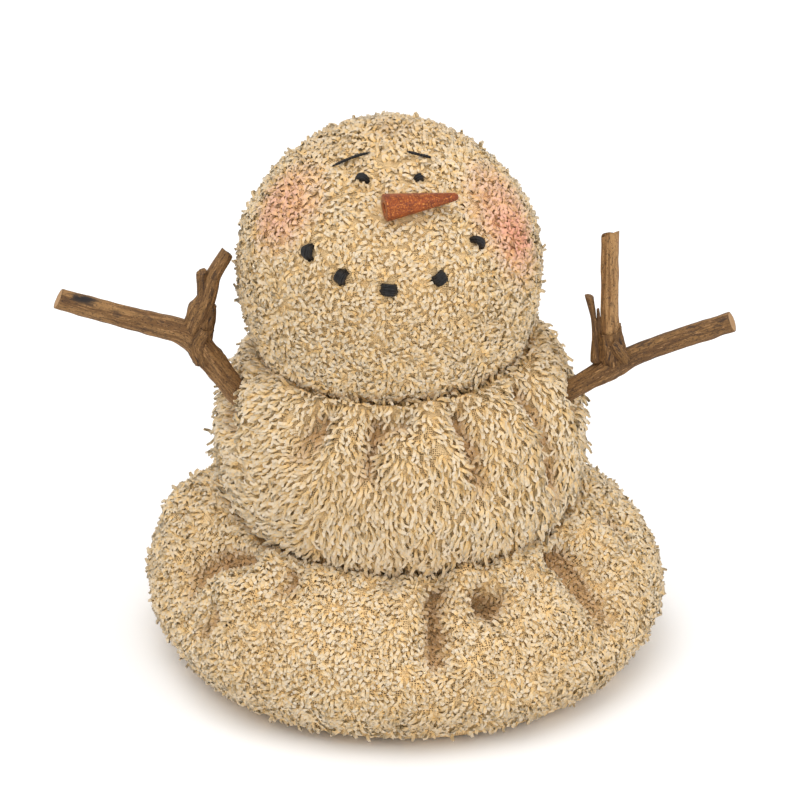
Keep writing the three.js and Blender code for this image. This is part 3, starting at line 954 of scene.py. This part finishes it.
def twig_bark():
    """Dry brown bark, with fine fibres along the twig, dark scars, paler worn ridges and pale cut ends."""
    finish = Finish("twig_bark", IOR=1.4)
    grain = finish.attribute("grain", "Vector")
    fibres = grain.stretched((1, 1, 0.12)).noise(2600, 4, 0.65)
    strands = grain.stretched((1, 1, 0.07)).noise(900, 3)
    scars = grain.stretched((1, 1, 0.35)).noise(620, 4, 0.65)
    worn = finish.attribute("worn", "Fac")
    specks = grain.stretched((1, 1, 0.45)).noise(3600, 2)
    tone = strands.rise(0.3, 0.7).mix(colour(88, 60, 33), colour(128, 92, 50))
    tone = (worn * 0.9).mix(tone, strands.rise(0.4, 0.6).mix(colour(136, 97, 55), colour(184, 142, 92)))
    tone = (fibres.rise(0.54, 0.7) * 0.7).mix(tone, colour(188, 144, 98))
    tone = ((1 - fibres.rise(0.32, 0.46)) * 0.8).mix(tone, colour(64, 44, 27))
    tone = (specks.rise(0.56, 0.64) * 0.75).mix(tone, colour(58, 40, 26))
    tone = (scars.rise(0.56, 0.66) * (0.8 - 0.6 * worn)).mix(tone, colour(52, 37, 28))
    streak = finish.place.stretched((0.3, 1, 1)).distance(BLACK_STREAK)
    tone = ((1 - streak.rise(0.0008, 0.0026)) * scars.rise(0.36, 0.5)).mix(tone, colour(34, 27, 25))
    cut = finish.attribute("cut", "Fac").rise(0.05, 0.16) * finish.attribute("pale", "Fac")
    rings = grain.noise(900, 2)
    face = rings.mix(colour(196, 156, 108), colour(158, 116, 74))
    finish.wear("Base Color", cut.mix(tone, face))
    rough = fibres.node("ShaderNodeMapRange", {}, {"Value": fibres, "To Min": 0.62, "To Max": 0.88})
    finish.wear("Roughness", rough)
    finish.bump(fibres * 0.6 + strands * 0.6 - scars * 0.5, 0.7, 0.5 * MM)
    return finish


def painted_wood():
    """Turned wood, painted copper orange, with golden flecks and darker rubbed specks."""
    finish = Finish("painted_wood", IOR=1.4, Coat_Weight=0.15, Coat_Roughness=0.25)
    flecks = finish.place.noise(2100, 3, 0.65)
    wash = finish.place.noise(420, 3)
    paint = wash.rise(0.3, 0.7).mix(colour(122, 54, 18), colour(158, 78, 30))
    paint = (flecks.rise(0.54, 0.66) * 0.75).mix(paint, colour(224, 148, 78))
    paint = ((1 - flecks.rise(0.36, 0.46)) * 0.75).mix(paint, colour(74, 32, 16))
    finish.wear("Base Color", paint)
    finish.wear("Metallic", 0.35 + flecks.rise(0.45, 0.65) * 0.5)
    finish.wear("Roughness", 0.3 + 0.25 * wash)
    finish.bump(flecks, 0.3, 0.15 * MM)
    return finish


def black_thread():
    """Black stranded embroidery cotton with a faint sheen, its plies winding along each thread."""
    finish = Finish("black_thread", IOR=1.4, Sheen_Weight=0.02, Sheen_Roughness=0.4)
    plies = finish.attribute("grain", "Vector").stretched((1, 1, 0.6)).noise(3200, 2)
    finish.wear("Base Color", plies.rise(0.35, 0.65).mix(colour(6, 5, 5), colour(36, 33, 32)))
    finish.wear("Roughness", 0.45 + 0.3 * plies)
    finish.bump(plies, 0.6, 0.1 * MM)
    return finish


# ---- Stage ----
LIGHTS = (("key", (-0.35, -0.4, 1.75), 1.6, 14), ("fill", (1.1, -0.7, 0.8), 1.0, 4))
LIGHT_AIM = (0, 0, 0.07)
SKY = 0.98
CAMERA_TARGET = Vector((1.26, -2.5, 76.2)) * MM
CAMERA_DISTANCE = 3
CAMERA_RAISED = math.radians(27)
VIEW_WIDTH = 0.22


def stage():
    """A pale floor, a soft light from above, a weak one from the right and a raised camera in front."""
    floor = primitive("floor", bpy.ops.mesh.primitive_plane_add, size=8)
    finish = Finish("floor", Roughness=0.9)
    finish.surface.inputs["Base Color"].default_value = (0.93, 0.93, 0.93, 1)
    finish.cover([floor])

    world = bpy.data.worlds.new("sky")
    world.use_nodes = True
    world.node_tree.nodes["Background"].inputs["Color"].default_value = (1, 1, 1, 1)
    world.node_tree.nodes["Background"].inputs["Strength"].default_value = SKY
    bpy.context.scene.world = world

    for name, place, size, power in LIGHTS:
        light = bpy.data.lights.new(name, "AREA")
        light.size = size
        light.energy = power
        lamp = bpy.data.objects.new(name, light)
        lamp.location = place
        aim = Vector(LIGHT_AIM) - lamp.location
        lamp.rotation_euler = aim.to_track_quat("-Z", "Y").to_euler()
        bpy.context.scene.collection.objects.link(lamp)

    lens = bpy.data.cameras.new("camera")
    lens.lens = lens.sensor_width * CAMERA_DISTANCE / VIEW_WIDTH
    lens.clip_start = 0.01
    camera = bpy.data.objects.new("camera", lens)
    back = -Vector((0, math.cos(CAMERA_RAISED), -math.sin(CAMERA_RAISED)))
    camera.location = CAMERA_TARGET + back * CAMERA_DISTANCE
    camera.rotation_euler = (-back).to_track_quat("-Z", "Y").to_euler()
    bpy.context.scene.collection.objects.link(camera)
    bpy.context.scene.camera = camera
    bpy.context.scene.view_settings.view_transform = "Standard"


# ---- Folds ----
def fold(depth, width, *line, fade=4, ends=0, puff=0.2):
    """A fold along a line of azimuths and elevations in degrees, its depth and width in millimetres. A depth
    below 0 is a ridge. It deepens from its ends as fast as fade says, and puff lifts the cloth beside it."""
    return {"line": line, "depth": depth, "width": width, "fade": fade, "ends": ends, "puff": puff}


MIDDLE_FOLDS = (
    fold(6, 2, (-7, 58), (-8, 42), (-9.5, 30), (-11, 22), (-11.6, 12)),
    fold(4, 1.8, (8, 58), (5, 42), (2, 33), (-1, 28)),
    fold(5.4, 2, (14, 58), (18, 42), (22, 32), (25, 22), (27, 7)),
    fold(4.8, 2.2, (50, 50), (54, 34), (57, 18), (58, 5), (62, -8)),
    fold(4.2, 2.4, (-24, 58), (-27, 40), (-30, 30), (-36, 12)),
    fold(-3, 4.5, (-60, 24), (-84, 16), puff=0, fade=2),
    fold(3, 2, (95, 32), (98, 12)),
    fold(3.6, 2, (135, 38), (138, 8)),
    fold(4, 2, (178, 38), (175, 4)),
    fold(3.2, 2, (-140, 38), (-138, 10)),
    fold(3, 2, (-100, 34), (-102, 14)),
)
BASE_FOLDS = (
    fold(6.4, 3.2, (-36, 50), (-43, 36), (-56, 27), (-68, 20), (-71, 12), (-67, 4)),
    fold(4, 3, (-54, 13), (-57, 7), (-60, 0)),
    fold(4.6, 2.2, (-38, 50), (-37, 34), (-36, 26), (-35, 19)),
    fold(4.6, 2, (-6, 52), (-6, 36), (-5, 30), (-4, 25)),
    fold(7.5, 1.8, (11, 52), (10, 36), (9, 27), (7.5, 18), (6.5, 5), fade=6, ends=0.25),
    fold(11, 3.4, (18, 25), (23, 23), (29, 18.5), fade=6, puff=0.1),
    fold(-3.4, 1.8, (15, 30), (23, 29), (31, 24), puff=0),
    fold(6.6, 4.2, (55, 52), (56, 36), (57, 25), (58, 14), (59, 2)),
    fold(2, 2, (40, 32), (39, 20)),
    fold(2, 2, (80, 30), (84, 18)),
    fold(4.4, 2.4, (128, 36), (129, 14), (128, 0)),
    fold(4, 2, (165, 36), (166, 12)),
    fold(4.4, 2.4, (-150, 36), (-149, 10), (-151, -2)),
    fold(3, 2, (-112, 36), (-108, 22)),
    fold(-4.2, 6, (-82, 18), (-112, 16), puff=0, fade=2),
)
FACE = ["eye_left", "eye_right", "brow_left", "brow_right"] + [f"mouth_stitch_{i}" for i in range(1, 6)]


# ---- How each tier's pile lies ----
# Yarn: millimetres between ends, radius in millimetres, steps along an end, and the turns of its curl.
SHORT_YARN = {"pitch": 1.22, "radius": 0.52, "steps": 3, "turns": (0.3, 0.65)}
LONG_YARN = {"pitch": 1.49, "radius": 0.49, "steps": 4, "turns": (0.5, 1.0)}


def swirl(places, seed, size):
    """A slowly turning direction in space for short curls that lie every way."""
    return np.stack([slow_noise(places, size * MM, seed + axis) for axis in range(3)], -1)


def head_comb(roots, normals, chance):
    count = len(roots)
    around = swirl(roots, 3, 4.5)
    falling = smooth_step(-normals[:, 2], -0.3, 0.7)[:, None]
    direction = unit(around + 0.35 * chance.normal(size=(count, 3))) + falling * np.array((0, 0, -0.5))
    return unit(direction), chance.uniform(1.8, 2.7, count) * MM, chance.uniform(0.4, 0.8, count) * MM


def middle_comb(roots, normals, chance):
    count = len(roots)
    out = unit(roots - MIDDLE_CENTRE)
    sideways = smooth_step(-out[:, 0], 0.3, 0.75)[:, None]
    down = np.array((0, 0, -1)) + sideways * np.array((-0.9, 0, 0.6))
    loose = swirl(roots, 8, 6)
    direction = unit(down + 0.75 * loose + 0.25 * chance.normal(size=(count, 3)))
    lower = smooth_step(-out[:, 2], -0.55, 0.1)
    lengths = chance.uniform(2.7, 3.8, count) + lower * chance.uniform(0.3, 1.2, count)
    return direction, lengths * MM, chance.uniform(0.45, 0.85, count) * MM


def base_comb(roots, normals, chance):
    count = len(roots)
    around = swirl(roots, 14, 5)
    direction = unit(around + 0.3 * chance.normal(size=(count, 3)) + np.array((0, 0, -0.3)))
    return direction, chance.uniform(1.8, 2.7, count) * MM, chance.uniform(0.4, 0.8, count) * MM


def stands_up(roots, normals):
    """Which ends of yarn are kept: all but those that the figure would stand on."""
    return ~((normals[:, 2] < -0.6) & (roots[:, 2] < 4 * MM))


# ---- Assembly ----
def make():
    stage()
    tiers = {
        "head": skin("head_cloth", "head", ["middle"], HEAD_CENTRE, 144, 72, (),
                     {"size": 14, "height": 0.5, "hem": 0}, 1),
        "middle": skin("middle_cloth", "middle", ["head", "base"], MIDDLE_CENTRE, 168, 72, MIDDLE_FOLDS,
                       {"size": 12, "height": 0.8, "hem": 0}, 2),
        "base": skin("base_cloth", "base", ["middle"], BASE_CENTRE, 216, 90, BASE_FOLDS,
                     {"size": 14, "height": 1.0, "hem": 2.6}, 3),
    }
    ground = knit_ground()
    for node, fill in (("head", 0.9), ("middle", 0.7), ("base", 0.6)):
        piece, _ = tiers[node]
        stand_in(piece, node)
        ground.cover([piece])
    seams = {"middle": 3, "carrot_nose": -0.3} | {node: -0.2 if "brow" in node else -1 for node in FACE}
    piles = pile("head_pile", tiers["head"], seams, SHORT_YARN, head_comb, stands_up, 11)
    seams = {"head": 3, "base": 3} | {node: -0.2 for node in TWIGS}
    piles += pile("middle_pile", tiers["middle"], seams, LONG_YARN, middle_comb, stands_up, 12)
    piles += pile("base_pile", tiers["base"], {"middle": 3}, SHORT_YARN, base_comb, stands_up, 13)
    for piece in piles:
        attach(piece, "root")
    loop_pile().cover(piles)

    twig_bark().cover([twig(node, seed) for seed, node in enumerate(TWIGS, 1)])
    painted_wood().cover([nose()])
    threads = [stitch(node, number) for number, node in enumerate(FACE) if "brow" not in node]
    threads += [brow("brow_left"), brow("brow_right")]
    black_thread().cover(threads)


make()
